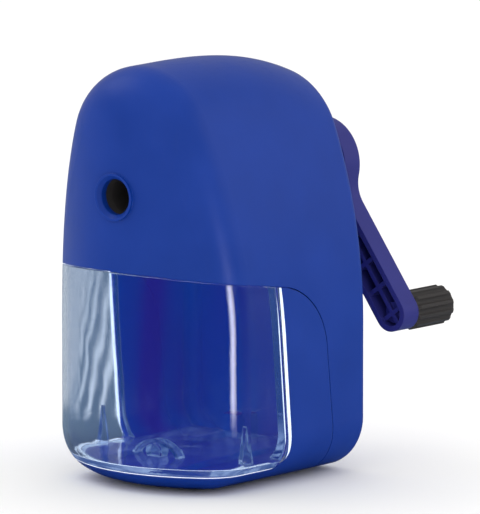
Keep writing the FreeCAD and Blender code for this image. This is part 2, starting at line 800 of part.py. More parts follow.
def screw(name, shank, length, head, head_height):
    """A pan-head screw: underside of the head at y = 0, shank towards +Y, cross recess."""
    body = turned(
        name,
        [
            (0, -head_height),
            (head * 0.7, -head_height),
            (head, -head_height * 0.45),
            (head, 0),
            (shank, 0),
            (shank, length - shank),
            (shank * 0.3, length),
            (0, length),
        ],
    )
    for i, (wide, tall) in enumerate(((head * 1.2, head * 0.28), (head * 0.28, head * 1.2)), start=1):
        pocket(
            body, f"{name}_recess_{i}", "XZ", -head_height - 0.1, -head_height * 0.45,
            lambda sketch: rectangle(sketch, -wide / 2, -tall / 2, wide / 2, tall / 2),
        )
    return body


BACKWARD = Rotation(Vector(0, 0, 1), 180)
UPWARD = Rotation(Vector(1, 0, 0), 90)

gear_screw = screw("gear_screw", 1.15, 8.0, 2.6, 1.6)
cover_screw = screw("cover_screw", 1.05, 8.5, 2.5, 1.6)
base_screw = screw("base_screw", 1.15, 8.0, 2.7, 1.3)
guide_screw = screw("guide_screw", 0.75, 4.4, 1.7, 1.2)
small_hole = 0.95

# ---------------------------------------------------------------- pencil guide and rear bearing

guide_seat_back = front + 5
pencil_guide = turned(
    "pencil_guide",
    [
        (d.guide_radius + 0.5, front + 2.6),
        (d.nose_radius + 0.15, front + 2.6),
        (d.nose_radius + 0.15, guide_seat_back),
        (12.0, guide_seat_back),
        (12.0, guide_seat_back + 1.8),
        (d.nose_radius + 1.2, guide_seat_back + 1.8),
        (d.nose_radius, guide_seat_back + 4.2),
        (d.nose_radius, d.arm_front - 0.4),
        (d.guide_radius, d.arm_front - 0.4),
        (d.guide_radius, front + 4.6),
    ],
)
for i, (x, z) in enumerate(guide_screw_spots, start=1):
    hole(pencil_guide, f"guide_hole_{i}", guide_seat_back - 1, guide_seat_back + 3, small_hole, x, z)
on_axis(pencil_guide)

rear_bush = turned(
    "rear_bush",
    [
        (d.shaft_radius + d.running, plate_front - 2.5),
        (6.5, plate_front - 2.5),
        (6.5, plate_front - 1.4),
        (4.45, plate_front - 1.4),
        (4.45, d.cover_boss_back),
        (d.shaft_radius + d.running, d.cover_boss_back),
    ],
)
on_axis(rear_bush)

# ---------------------------------------------------------------- bevel gears


def involute(base_radius, radius):
    """Polar angle gained by an involute between its base circle and `radius`."""
    if radius <= base_radius:
        return 0.0
    pressure = math.acos(base_radius / radius)
    return math.tan(pressure) - pressure


def tooth_outline(teeth, pitch, tip, root, share, steps=4):
    """Closed outline of an external gear with one tooth centred on -Z.

    `share` is the part of the pitch that a tooth takes up at the pitch circle.
    """
    base = pitch * math.cos(math.radians(20))
    half = math.pi * share / teeth
    low = max(base, root)
    flank = []
    for i in range(steps + 1):
        radius = low + (tip - low) * i / steps
        flank.append((radius, half + involute(base, pitch) - involute(base, radius)))
    if root < low:
        flank.insert(0, (root, flank[0][1]))
    points = []
    for tooth in range(teeth):
        middle = -math.pi / 2 + 2 * math.pi * tooth / teeth
        points += [(radius, middle - angle) for radius, angle in flank]
        points += [(radius, middle + angle) for radius, angle in reversed(flank)]
    return [(r * math.cos(a), r * math.sin(a)) for r, a in points]


def cone_frustum(outline, cone_pitch, near_y, far_y, pitch):
    """Loft an outline between two distances from the apex, which lies towards +Y."""
    wires = []
    for distance in (far_y, near_y):
        scale = distance * math.tan(cone_pitch) / pitch
        corners = [Vector(x * scale, -distance, z * scale) for x, z in outline]
        wires.append(Part.makePolygon(corners + corners[:1]))
    return Part.makeLoft(wires, True, True)


def axle_cylinder(radius, near_y, far_y):
    return Part.makeCylinder(radius, far_y - near_y, Vector(0, -far_y, 0), Vector(0, 1, 0))


near_slant = d.gear_inner.value
far_slant = near_slant + d.gear_face.value
module = 2 * far_slant * math.sin(pinion_cone) / PINION_TEETH
tilted = Placement(
    Vector(0, d.apex_y.value, d.axis_height.value), Rotation(Vector(1, 0, 0), d.cone_angle.value)
)
apex_on_axis = Placement(Vector(0, d.apex_y.value, d.axis_height.value), Rotation())

pinion_pitch = PINION_TEETH * module / 2
pinion_outline = tooth_outline(
    PINION_TEETH, pinion_pitch, pinion_pitch + 0.65 * module, pinion_pitch - 0.95 * module, 0.44
)
pinion_near = near_slant * math.cos(pinion_cone)
pinion_far = far_slant * math.cos(pinion_cone)
axle_bore = d.axle_radius.value + d.running.value
pinion_shape = cone_frustum(pinion_outline, pinion_cone, pinion_near, pinion_far, pinion_pitch)
pinion_shape = pinion_shape.cut(axle_cylinder(axle_bore, pinion_near - 1, pinion_far + 1))
cutter_pinion = doc.addObject("Part::Feature", "cutter_pinion")
cutter_pinion.Shape = pinion_shape
cutter_pinion.Placement = tilted

ring_pitch = RING_TEETH * module / 2
ring_outline = tooth_outline(
    RING_TEETH, ring_pitch, ring_pitch + 0.95 * module, ring_pitch - 0.6 * module, 0.56
)
ring_near = near_slant * math.cos(ring_cone)
ring_far = far_slant * math.cos(ring_cone)
ring_shape = axle_cylinder(d.ring_radius.value, ring_near, ring_far)
for x, z in pillar_spots:
    ear = Part.makeCylinder(4.2, 3.0, Vector(x, -ring_near - 3.0, z), Vector(0, 1, 0))
    screw_way = Part.makeCylinder(1.4, 5.0, Vector(x, -ring_near - 4.0, z), Vector(0, 1, 0))
    sink = Part.makeCylinder(2.8, 9.0, Vector(x, -ring_near - 12.0, z), Vector(0, 1, 0))
    ring_shape = ring_shape.fuse(ear).cut([screw_way, sink])
ring_hollow = cone_frustum(ring_outline, ring_cone, ring_near - 1, ring_far + 1, ring_pitch)
ring_gear = doc.addObject("Part::Feature", "ring_gear")
ring_gear.Shape = ring_shape.cut(ring_hollow).removeSplitter()
ring_gear.Placement = apex_on_axis

# ---------------------------------------------------------------- helical cutter and axle


def cutter_section(distance, turn):
    """Saw-tooth section of the cutter, turned by `turn` radians."""
    tip = d.cutter_radius.value
    root = tip - 0.75
    corners = []
    for tooth in range(CUTTER_TEETH):
        start = turn + 2 * math.pi * tooth / CUTTER_TEETH
        step = 2 * math.pi / CUTTER_TEETH
        for radius, share in ((root, 0.0), (tip, 0.12), (tip, 0.26)):
            angle = start + share * step
            corners.append(Vector(radius * math.cos(angle), -distance, radius * math.sin(angle)))
    return Part.makePolygon(corners + corners[:1])


cutter_far = d.cutter_front.value
cutter_near = d.cutter_back.value
stations = 9
sections = []
for i in range(stations):
    share = i / (stations - 1)
    distance = cutter_far + (cutter_near - cutter_far) * share
    sections.append(cutter_section(distance, math.radians(75) * share))
cutter_shape = Part.makeLoft(sections, True, True)
cutter_shape = cutter_shape.cut(axle_cylinder(axle_bore, cutter_near - 1, cutter_far + 1))
helical_cutter = doc.addObject("Part::Feature", "helical_cutter")
helical_cutter.Shape = cutter_shape
helical_cutter.Placement = tilted

axle_front = 63.0
axle_back = 23.8
cutter_axle = turned(
    "cutter_axle",
    [
        (0, -axle_front),
        (d.axle_radius - 0.3, -axle_front),
        (d.axle_radius, -axle_front + 0.3),
        (d.axle_radius, -axle_back - 0.3),
        (d.axle_radius - 0.3, -axle_back),
        (0, -axle_back),
    ],
)
bind(cutter_axle, ".Placement.Base.y", d.apex_y)
on_axis(cutter_axle)
cutter_axle.Placement.Rotation = Rotation(Vector(1, 0, 0), d.cone_angle.value)

# ---------------------------------------------------------------- cutter carrier

head_front = -11.0
head_back = -8.9
carrier_screw_spots = [(-8.4, 4.0), (8.4, 4.0)]
carrier_blank = turned(
    "carrier_blank",
    [
        (4.6, head_back),
        (13.4, head_back),
        (13.4, head_back + 1.9),
        (11.9, head_back + 1.9),
        (11.9, 1.0),
        (10.6, 9.0),
        (8.8, 24.0),
        (8.8, 29.0),
        (d.shaft_radius, 29.0),
        (d.shaft_radius, 26.4),
        (1.4, 26.4),
        (1.4, 23.6),
        (4.6, 2.0),
    ],
)
on_axis(carrier_blank)


def tilted_rod(name, near_y, far_y, radius):
    """A cylinder round the cutter axis between two distances from the apex."""
    cylinder = doc.addObject("Part::Cylinder", name)
    bind(cylinder, "Radius", radius)
    bind(cylinder, "Height", as_dim(far_y) - near_y)
    toward_apex = Vector(0, math.cos(cone), math.sin(cone))
    start = Vector(0, d.apex_y.value, d.axis_height.value) - toward_apex * as_dim(far_y).value
    cylinder.Placement = Placement(start, Rotation(Vector(0, 0, 1), toward_apex))
    return cylinder


def chip_window(name, y0, y1, z0, z1, half):
    return box(name, -half, half, y0, y1, axis_z + z0, axis_z + z1)


carrier_cuts = [
    tilted_rod("cutter_room", cutter_near - 0.6, cutter_far + 0.9, d.cutter_radius + 0.5),
    tilted_rod("pinion_room", pinion_near - 0.6, pinion_far + 0.5, 5.9),
    tilted_rod("axle_seat", axle_back, axle_front, d.axle_radius),
    chip_window("lower_window", 0.5, 22.0, -16, -6.0, 5.5),
    chip_window("upper_window", 0.5, 19.0, 4.0, 16, 3.6),
]
for i, (x, z) in enumerate(carrier_screw_spots, start=1):
    carrier_cuts.append(rod(f"carrier_pilot_{i}", "XZ", x, axis_z + z, head_back - 1, head_back + 7, 0.8))
    carrier_cuts.append(rod(f"side_window_{i}", "YZ", 11, axis_z + 1, x * 1.2 - 5, x * 1.2 + 5, 4.2))
cutter_carrier = cut("cutter_carrier", carrier_blank, *carrier_cuts)

# ---------------------------------------------------------------- self-feeding chuck
# Three sprung arms carry skewed rollers: they close on the pencil and screw it inwards.

cover_front = d.arm_front - 2.0
cover_back = d.arm_front - 0.3
pin_end = head_back - 0.4
arm_turns = [90.0 + 360.0 * i / FEED_ARMS for i in range(FEED_ARMS)]
post_turns = [turn + 60.0 for turn in arm_turns]


def polar(radius, degrees):
    """x and z of a point at a radius and an angle from +X towards +Z."""
    angle = math.radians(degrees)
    return radius * math.cos(angle), radius * math.sin(angle)


arm_spots = [polar(d.arm_pitch.value, turn) for turn in arm_turns]
post_spots = [polar(d.post_orbit.value, turn) for turn in post_turns]
feed_head_blank = new_body("feed_head_blank")
disc(feed_head_blank, "head_disc", head_front, head_back, d.head_radius)
for i, (x, z) in enumerate(post_spots, start=1):
    disc(feed_head_blank, f"post_{i}", cover_back, head_front, d.post_radius, x, z)
hole(feed_head_blank, "head_bore", head_front - 1, head_back + 1, 4.6)
for i, (x, z) in enumerate(arm_spots, start=1):
    hole(feed_head_blank, f"pin_seat_{i}", head_front - 1, pin_end, d.feed_pin, x, z)
for i, (x, z) in enumerate(post_spots, start=1):
    hole(feed_head_blank, f"post_pilot_{i}", cover_back - 1, cover_back + 5, 0.75, x, z)
for i, (x, z) in enumerate(carrier_screw_spots, start=1):
    hole(feed_head_blank, f"head_hole_{i}", head_front - 1, head_back + 1, small_hole, x, z)
    hole(feed_head_blank, f"head_sink_{i}", head_front - 1, head_front + 1.2, 1.75, x, z)
on_axis(feed_head_blank)
head_axle_seat = tilted_rod("head_axle_seat", 55, axle_front + 0.1, d.axle_radius)
feed_head = cut("feed_head", feed_head_blank, head_axle_seat)

feed_cover = new_body("feed_cover")
disc(feed_cover, "cover_disc", cover_front, cover_back, d.head_radius)
hole(feed_cover, "cover_bore", cover_front - 1, cover_back + 1, d.nose_radius + d.running)
for i, (x, z) in enumerate(arm_spots, start=1):
    hole(feed_cover, f"cover_pin_{i}", cover_front - 1, cover_back + 1, d.feed_pin, x, z)
for i, (x, z) in enumerate(post_spots, start=1):
    hole(feed_cover, f"cover_hole_{i}", cover_front - 1, cover_back + 1, small_hole, x, z)
on_axis(feed_cover)

arm_pin = turned(
    "arm_pin",
    [(0, cover_front), (d.feed_pin, cover_front), (d.feed_pin, pin_end), (0, pin_end)],
)

# Roller centre seen from the pivot, with the pivot at angle 0.
roller_x, roller_z = polar(d.roller_orbit.value, d.roller_angle.value)
lever = Vector(roller_x - d.arm_pitch.value, 0, roller_z)
arm_plate = 1.5
axle_half = 4.55
roller_half = 2.1
roller_edge = 0.4
roller_middle = (d.arm_front.value + d.arm_back.value) / 2
lead = d.roller_lead.value
feed_arms, feed_rollers, roller_axles, arm_pivots = [], [], [], []
for n, turn in enumerate(arm_turns, start=1):
    swing = Rotation(Vector(0, 1, 0), -turn)
    pivot = swing.multVec(Vector(d.arm_pitch.value, 0, 0)) + Vector(0, 0, axis_z.value)
    reach = swing.multVec(lever)
    centre = pivot + reach + Vector(0, roller_middle, 0)
    radial = Vector(centre.x, 0, centre.z - axis_z.value).normalize()
    skew = Rotation(radial, lead)
    arm_pivots.append(pivot)

    arm = new_body(f"arm_{n}_blank")
    near_plate = (d.arm_front, d.arm_front + arm_plate)
    far_plate = (d.arm_back - arm_plate, d.arm_back)
    for name, (y0, y1) in (("front", near_plate), ("rear", far_plate)):
        pad(arm, f"arm_{n}_{name}", "XZ", y0, y1, lambda s: slot(s, 0, 0, -lever.Length, d.arm_eye))
    disc(arm, f"arm_{n}_hub", d.arm_front, d.arm_back, d.arm_eye)
    hole(arm, f"arm_{n}_bore", d.arm_front - 1, d.arm_back + 1, d.feed_pin + d.running)
    aim = math.degrees(math.atan2(-reach.x, -reach.z))
    arm.Placement = Placement(pivot, Rotation(Vector(0, 1, 0), aim))

    seat = doc.addObject("Part::Cylinder", f"axle_seat_{n}")
    bind(seat, "Radius", d.roller_axle)
    seat.Height = 14
    upright = Rotation(Vector(1, 0, 0), -90)
    seat.Placement = Placement(centre, skew.multiply(upright)).multiply(at(0, 0, -7))
    feed_arms.append(cut(f"feed_arm_{n}", arm, seat))

    axle = turned(
        f"roller_axle_{n}",
        [(0, -axle_half), (d.roller_axle, -axle_half), (d.roller_axle, axle_half), (0, axle_half)],
    )
    axle.Placement = Placement(centre, skew)
    roller_axles.append(axle)
    roller_bore = d.roller_axle + d.running
    roller = turned(
        f"feed_roller_{n}",
        [
            (roller_bore, -roller_half),
            (d.roller_radius - roller_edge, -roller_half),
            (d.roller_radius, roller_edge - roller_half),
            (d.roller_radius, roller_half - roller_edge),
            (d.roller_radius - roller_edge, roller_half),
            (roller_bore, roller_half),
        ],
    )
    roller.Placement = Placement(centre, skew)
    feed_rollers.append(roller)

feed_arm_pins = copies("feed_arm_pins", arm_pin, [Placement(pivot, Rotation()) for pivot in arm_pivots])

# Torsion springs wound loosely round the hubs of the arms, each with one leg to the head.
coil_radius = 2.95
coil_pitch = 0.75
coil_front = -17.2
coil_steps = 16
wire_radius = 0.28
spring_path = []
for i in range(coil_steps * SPRING_TURNS + 1):
    angle = 2 * math.pi * i / coil_steps
    x, z = coil_radius * math.cos(angle), coil_radius * math.sin(angle)
    spring_path.append(Vector(x, coil_front + coil_pitch * i / coil_steps, z))
coil_end = spring_path[-1]
leg_length = head_front - 0.1 - coil_end.y
for along, across in ((0.45, 0.75), (1.3, 1.05), (2.6, 1.05), (leg_length, 1.05)):
    spring_path.append(coil_end + Vector(-0.05, along, across))
spring_curve = Part.BSplineCurve()
spring_curve.interpolate(spring_path)
wire_tangent = spring_curve.tangent(spring_curve.FirstParameter)[0]
spring_sweep = Part.BRepOffsetAPI.MakePipeShell(Part.Wire(spring_curve.toShape()))
spring_sweep.add(Part.Wire(Part.makeCircle(wire_radius, spring_path[0], wire_tangent)))
spring_sweep.build()
spring_sweep.makeSolid()
spring = doc.addObject("Part::Feature", "spring")
spring.Shape = spring_sweep.shape()

# ---------------------------------------------------------------- crank

crank_shaft = turned(
    "crank_shaft",
    [
        (0, 26.4),
        (d.shaft_radius, 26.4),
        (d.shaft_radius, d.crank_back - 2.6),
        (d.shaft_radius - 0.3, d.crank_back - 2.3),
        (1.1, d.crank_back - 2.3),
        (1.1, d.crank_back - 9.0),
        (0, d.crank_back - 9.6),
    ],
)
on_axis(crank_shaft)

thrust_washer = turned(
    "thrust_washer",
    [
        (d.shaft_radius + d.running, d.cover_boss_back + 0.1),
        (5.2, d.cover_boss_back + 0.1),
        (5.2, d.cover_boss_back + 0.9),
        (d.shaft_radius + d.running, d.cover_boss_back + 0.9),
    ],
)
on_axis(thrust_washer)

# The arm is drawn pointing straight down and then turned about the shaft.
crank_arm = new_body("crank_arm")
hub_front = d.cover_boss_back + 1.0
disc(crank_arm, "crank_disc", d.crank_front, d.crank_back, d.hub_radius)
crank_bar = pad(
    crank_arm, "crank_bar", "XZ", d.crank_front, d.crank_back,
    lambda s: slot(s, 0, 0, -d.crank_length, d.arm_radius),
)
doc.recompute()


def is_neck(edge):
    """The two inner corners where the bar leaves the hub."""
    ends = edge.Vertexes
    if len(ends) != 2 or abs(ends[0].Y - ends[1].Y) < 1:
        return False
    return abs(abs(ends[0].X) - d.arm_radius.value) < 0.01 and -12 < ends[0].Z < -8


necks = [f"Edge{i}" for i, e in enumerate(crank_arm.Shape.Edges, start=1) if is_neck(e)]
neck = crank_arm.newObject("PartDesign::Fillet", "crank_neck")
neck.Base = (crank_bar, necks)
neck.Radius = 9.0
crank_arm.Tip = neck
doc.recompute()
skin = d.crank_back - d.crank_wall
hole(crank_arm, "hub_hollow", d.crank_front - 1, skin, d.hub_radius - d.crank_wall)
pocket(
    crank_arm, "bar_hollow", "XZ", d.crank_front - 1, skin,
    lambda s: slot(s, 0, 0, -d.crank_length, d.arm_radius - d.crank_wall),
)
rib_front = d.crank_front + 1.0
rib_thick = 0.6
tip_end = d.crank_length + d.arm_radius - 0.5
pad(
    crank_arm, "long_rib", "XZ", rib_front, skin + 0.1,
    lambda s: rectangle(s, -rib_thick, -tip_end, rib_thick, -4.0),
)
rib_half = d.arm_radius - 0.5
for i, z in enumerate((-15.5, -23.5, -31.5, -39.0, -47.0), start=1):
    pad(
        crank_arm, f"cross_rib_{i}", "XZ", rib_front, skin + 0.1,
        lambda s: rectangle(s, -rib_half, z - rib_thick, rib_half, z + rib_thick),
    )
disc(crank_arm, "hub_core", hub_front, skin + 0.1, 5.2)
hub_reach = d.hub_radius - 0.6
for name, x, top in (("level", hub_reach, rib_thick), ("upright", rib_thick, hub_reach)):
    pad(
        crank_arm, f"hub_{name}_rib", "XZ", rib_front, skin + 0.1,
        lambda s: rectangle(s, -x, -rib_thick, x, top),
    )
pin_start = d.crank_front + 2.6
disc(crank_arm, "knob_core", pin_start - 0.6, skin + 0.1, 2.9, 0, -d.crank_length)
shaft_end = d.crank_back - 2.3
hole(crank_arm, "shaft_seat", hub_front - 1, shaft_end, d.shaft_radius)
hole(crank_arm, "screw_way", shaft_end - 1, d.crank_back + 1, 1.5)
hole(crank_arm, "screw_sink", d.crank_back - 1.2, d.crank_back + 1, 3.1)
hole(crank_arm, "pin_seat", pin_start, d.crank_back + 1, d.pin_radius, 0, -d.crank_length)
on_axis(crank_arm)
crank_turn = Rotation(Vector(0, 1, 0), -d.crank_angle.value)
crank_arm.Placement.Rotation = crank_turn

crank_pick = screw("crank_pick", 1.1, 8.0, 2.8, 1.4)
crank_screw = copies(
    "crank_screw", crank_pick, [at(0, d.crank_back - 1.2, axis_z, BACKWARD)]
)

knob_spot = crank_turn.multVec(Vector(0, 0, -d.crank_length.value)) + Vector(0, 0, axis_z.value)
knob_start = d.crank_back + 0.25
knob_end = knob_start + d.knob_length
knob_pin = turned(
    "knob_pin",
    [
        (0, pin_start),
        (d.pin_radius, pin_start),
        (d.pin_radius, knob_end - 3.0),
        (2.5, knob_end - 3.0),
        (2.5, knob_end - 1.6),
        (0, knob_end - 1.6),
    ],
)
knob_pin.Placement = Placement(knob_spot, Rotation())

crank_knob = turned(
    "crank_knob",
    [
        (d.pin_radius + d.running, knob_start),
        (d.knob_radius - 0.6, knob_start),
        (d.knob_radius, knob_start + 0.8),
        (d.knob_radius, knob_end - 0.9),
        (d.knob_radius - 0.9, knob_end),
        (2.9, knob_end),
        (2.9, knob_end - 3.2),
        (d.pin_radius + d.running, knob_end - 3.2),
    ],
)
flute = hole(crank_knob, "knob_flute", knob_start - 1, knob_end + 1, 0.9, 0, d.knob_radius + 0.1)
polar_copies(crank_knob, flute, "knob_flutes", KNOB_FLUTES)
crank_knob.Placement = Placement(knob_spot, Rotation())

# ---------------------------------------------------------------- sets of identical pieces

spring_turns = [Rotation(Vector(0, 1, 0), 90 - turn) for turn in arm_turns]
feed_springs = copies("feed_springs", spring, [Placement(p, r) for p, r in zip(arm_pivots, spring_turns)])
gear_screws = copies(
    "gear_screws", gear_screw,
    [at(x, pillar_front - 3.0, axis_z + z) for x, z in pillar_spots],
)
cover_screws = copies(
    "cover_screws", cover_screw, [at(x, back, z, BACKWARD) for x, z in cover_screw_spots]
)
base_screws = copies("base_screws", base_screw, [at(x, y, 2.4, UPWARD) for x, y in base_screw_spots])
guide_screws = copies(
    "guide_screws", guide_screw,
    [at(x, guide_seat_back + 1.8, axis_z + z, BACKWARD) for x, z in guide_screw_spots],
)
carrier_pick = screw("carrier_pick", 0.75, 6.0, 1.6, 1.1)
carrier_screws = copies(
    "carrier_screws", carrier_pick,
    [at(x, head_front + 1.2, axis_z + z) for x, z in carrier_screw_spots],
)
post_pick = screw("post_pick", 0.7, 5.0, 1.5, 1.0)
feed_screws = copies(
    "feed_screws", post_pick,
    [at(x, cover_front, axis_z + z) for x, z in post_spots],
)

# ---------------------------------------------------------------- check and write

SUB_PARTS = [
    upper_housing, rear_cover, base_frame, shavings_drawer,
    pencil_guide, rear_bush, ring_gear, cutter_pinion, helical_cutter, cutter_axle, cutter_carrier,
    feed_head, feed_cover, *feed_arms, *roller_axles, *feed_rollers, feed_arm_pins, feed_springs,
    crank_shaft, thrust_washer, crank_arm, crank_screw, knob_pin, crank_knob,
    rubber_pad, gear_screws, cover_screws, base_screws, guide_screws, carrier_screws, feed_screws,
]

doc.recompute()
for obj in doc.Objects:
    if "Invalid" in obj.State or "Error" in obj.State:
        raise RuntimeError(f"{obj.Name} did not compute")
for obj in SUB_PARTS:
    shape = Part.getShape(obj)
    if shape.isNull() or not shape.isValid() or not shape.Solids:
        raise RuntimeError(f"{obj.Name} has no valid solid")

os.makedirs("parts", exist_ok=True)
for obj in SUB_PARTS:
    obj.Label = obj.Name
    Part.getShape(obj).exportStep(f"parts/{obj.Label}.step")
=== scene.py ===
import json
import math

import bmesh
import bpy
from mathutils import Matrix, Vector


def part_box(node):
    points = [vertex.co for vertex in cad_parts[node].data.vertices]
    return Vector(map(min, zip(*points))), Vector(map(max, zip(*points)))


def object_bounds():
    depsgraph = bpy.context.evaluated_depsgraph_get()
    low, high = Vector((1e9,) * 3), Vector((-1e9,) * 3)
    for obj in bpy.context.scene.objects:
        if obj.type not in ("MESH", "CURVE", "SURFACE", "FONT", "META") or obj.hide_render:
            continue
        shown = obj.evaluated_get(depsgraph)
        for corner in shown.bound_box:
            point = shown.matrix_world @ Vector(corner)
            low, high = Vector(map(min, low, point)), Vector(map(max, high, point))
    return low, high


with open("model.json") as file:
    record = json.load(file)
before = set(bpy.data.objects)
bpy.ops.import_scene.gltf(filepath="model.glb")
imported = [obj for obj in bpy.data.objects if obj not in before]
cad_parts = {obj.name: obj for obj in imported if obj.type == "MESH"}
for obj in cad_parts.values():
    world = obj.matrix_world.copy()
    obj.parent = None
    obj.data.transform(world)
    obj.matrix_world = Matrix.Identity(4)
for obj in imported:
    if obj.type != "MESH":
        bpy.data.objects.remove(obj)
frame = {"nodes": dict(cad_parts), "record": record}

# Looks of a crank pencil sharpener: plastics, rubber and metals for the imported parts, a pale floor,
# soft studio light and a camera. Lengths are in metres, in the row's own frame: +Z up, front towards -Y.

CAD_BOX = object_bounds()
MM = 0.001

# The drawer's narrow rims, which carry a painted bright line, and the painted tones that stand in for light
# caught in its plastic.
RIM_WIDTH = 2.1 * MM
RIB_HIGHLIGHT_BELOW = 9 * MM
RIBS_END_AT = 18 * MM
TRAPPED_AFTER = 5.5
TRAPPED_LIGHT = (0.020, 0.065, 0.270, 1.0)
RIB_LIGHT = (0.300, 0.420, 0.720, 1.0)

# The surroundings, as seen directly and as mirrored.
WHITE = (0.985, 0.985, 0.98)
MIRRORED_ROOM = (0.008, 0.025, 0.110, 1.0)
MIRRORED_FAR = (0.12, 0.19, 0.27, 1)
MIRRORED_STRIPE = (0.90, 0.92, 0.95, 1)
ROOM_BLEND = 60 * MM
STRIPE_PERIOD = 5.4 * MM
STRIPES_LEFT_OF = -24 * MM
STRIPES_BEYOND = 70 * MM
LANE_FROM_Y = -15 * MM
LANE_AZIMUTH = 86
LANE_HALF_ANGLE = 7
LANE_NEAR = 90 * MM
LANE_STRENGTH = 9.0


# ---------------------------------------------------------------- node graphs

class Graph:
    """One material's node tree, with short calls that add a node and join its sockets."""

    def __init__(self, name):
        self.material = bpy.data.materials.new(name)
        self.material.use_nodes = True
        self.tree = self.material.node_tree
        self.tree.nodes.clear()
        self.place = self.add("TexCoord").outputs["Object"]

    def add(self, kind, sockets=None, **settings):
        node = self.tree.nodes.new("ShaderNode" + kind)
        for name, value in settings.items():
            setattr(node, name, value)
        for name, value in (sockets or {}).items():
            if isinstance(value, bpy.types.NodeSocket):
                self.tree.links.new(value, node.inputs[name])
            else:
                node.inputs[name].default_value = value
        return node

    def noise(self, size, detail=3.0, stretch=(1, 1, 1)):
        """Noise whose blotches are about this size across, drawn out where a stretch is under 1."""
        placed = self.add("Mapping", {"Vector": self.place, "Scale": stretch}).outputs["Vector"]
        return self.add("TexNoise", {"Vector": placed, "Scale": 1 / size, "Detail": detail}).outputs["Fac"]

    def remap(self, value, start, end, low, high):
        """The value's stretch from start to end, spread over low to high."""
        sockets = {"Value": value, "From Min": start, "From Max": end, "To Min": low, "To Max": high}
        return self.add("MapRange", sockets).outputs["Result"]

    def reckon(self, operation, first, second):
        node = self.add("Math", operation=operation)
        for socket, value in zip(node.inputs, (first, second)):
            self.tree.links.new(value, socket)
        return node.outputs["Value"]

    def sum(self, first, second):
        return self.reckon("ADD", first, second)

    def product(self, first, second):
        return self.reckon("MULTIPLY", first, second)

    def larger(self, first, second):
        return self.reckon("MAXIMUM", first, second)

    def dot(self, vector, axis):
        """How far a vector reaches along an axis."""
        return self.add("VectorMath", {0: vector, 1: axis}, operation="DOT_PRODUCT").outputs["Value"]

    def size(self, value):
        """A number without its sign."""
        return self.add("Math", {0: value}, operation="ABSOLUTE").outputs["Value"]

    def wave(self, value, period):
        """Swings between -1 and 1 as the value runs on."""
        turns = self.add("Math", {0: value, 1: 2 * math.pi / period}, operation="MULTIPLY").outputs["Value"]
        return self.add("Math", {0: turns}, operation="SINE").outputs["Value"]

    def mix(self, share, first, second):
        """One shader where the share is 0, the other where it is 1."""
        node = self.add("MixShader", {"Fac": share})
        self.tree.links.new(first.outputs[0], node.inputs[1])
        self.tree.links.new(second.outputs[0], node.inputs[2])
        return node

    def tint(self, share, first, second):
        return self.add("MixRGB", {"Fac": share, "Color1": first, "Color2": second}).outputs["Color"]

    def rounded_normal(self, radius):
        """The surface normal, as if the sharp edges had this radius."""
        return self.add("Bevel", {"Radius": radius}, samples=4).outputs["Normal"]

    def edge_share(self, radius):
        """0 on open faces, rising to 1 on sharp edges."""
        flat = self.add("NewGeometry").outputs["Normal"]
        sockets = {0: self.rounded_normal(radius), 1: flat}
        aligned = self.add("VectorMath", sockets, operation="DOT_PRODUCT").outputs["Value"]
        return self.remap(aligned, 1.0, 0.8, 0.0, 1.0)

    def bump(self, height, depth, normal):
        sockets = {"Height": height, "Distance": depth, "Strength": 1.0, "Normal": normal}
        return self.add("Bump", sockets).outputs["Normal"]

    def finish(self, shader):
        output = self.add("OutputMaterial", {"Surface": shader.outputs[0]})
        output.is_active_output = True
        return self.material


def shade(colour, factor, most=1.0):
    return tuple(min(most, part * factor) for part in colour[:3]) + (1.0,)


# ------------------------------------------------------------------ materials

def moulded_plastic(name, colour, roughness, glow=None, grain=0.35 * MM, depth=0.012 * MM, rounding=0.35 * MM):
    """Injection-moulded plastic: fine eroded grain, slow changes of shade and gloss, paler worn edges.
    A glow stands in for the light that soaks through thin walls; it shows only through clear plastic."""
    graph = Graph(name)
    cloud = graph.noise(16 * MM, 4.0)
    speck = graph.noise(grain, 2.0)
    scuff = graph.noise(1.1 * MM, 2.0, stretch=(1, 0.25, 0.12))
    toned = graph.tint(graph.remap(cloud, 0.3, 0.7, 0.0, 1.0), shade(colour, 0.93), shade(colour, 1.07))
    worn = graph.tint(graph.remap(graph.edge_share(rounding), 0.0, 1.0, 0.0, 0.35), toned, shade(colour, 1.8))
    gloss = graph.sum(
        graph.remap(cloud, 0.3, 0.7, roughness - 0.04, roughness + 0.04),
        graph.remap(scuff, 0.55, 0.8, 0.0, 0.06),
    )
    normal = graph.bump(speck, depth, graph.rounded_normal(rounding))
    sockets = {"Base Color": worn, "Roughness": gloss, "Normal": normal, "IOR": 1.5, "Specular IOR Level": 0.28}
    if glow:
        deep = graph.noise(18 * MM, 1.0, stretch=(1, 1, 0.15))
        facing = graph.add("NewGeometry").outputs["Normal"]
        upward = graph.remap(graph.dot(facing, (0, 0, 1)), 0.6, 0.9, 0.0, 1.0)
        bands = graph.tint(graph.remap(deep, 0.38, 0.62, 0.0, 1.0), glow[0], glow[1])
        sockets["Emission Color"] = graph.tint(upward, bands, glow[1])
        sockets["Emission Strength"] = graph.add("LightPath").outputs["Is Transmission Ray"]
    return graph.finish(graph.add("BsdfPrincipled", sockets))


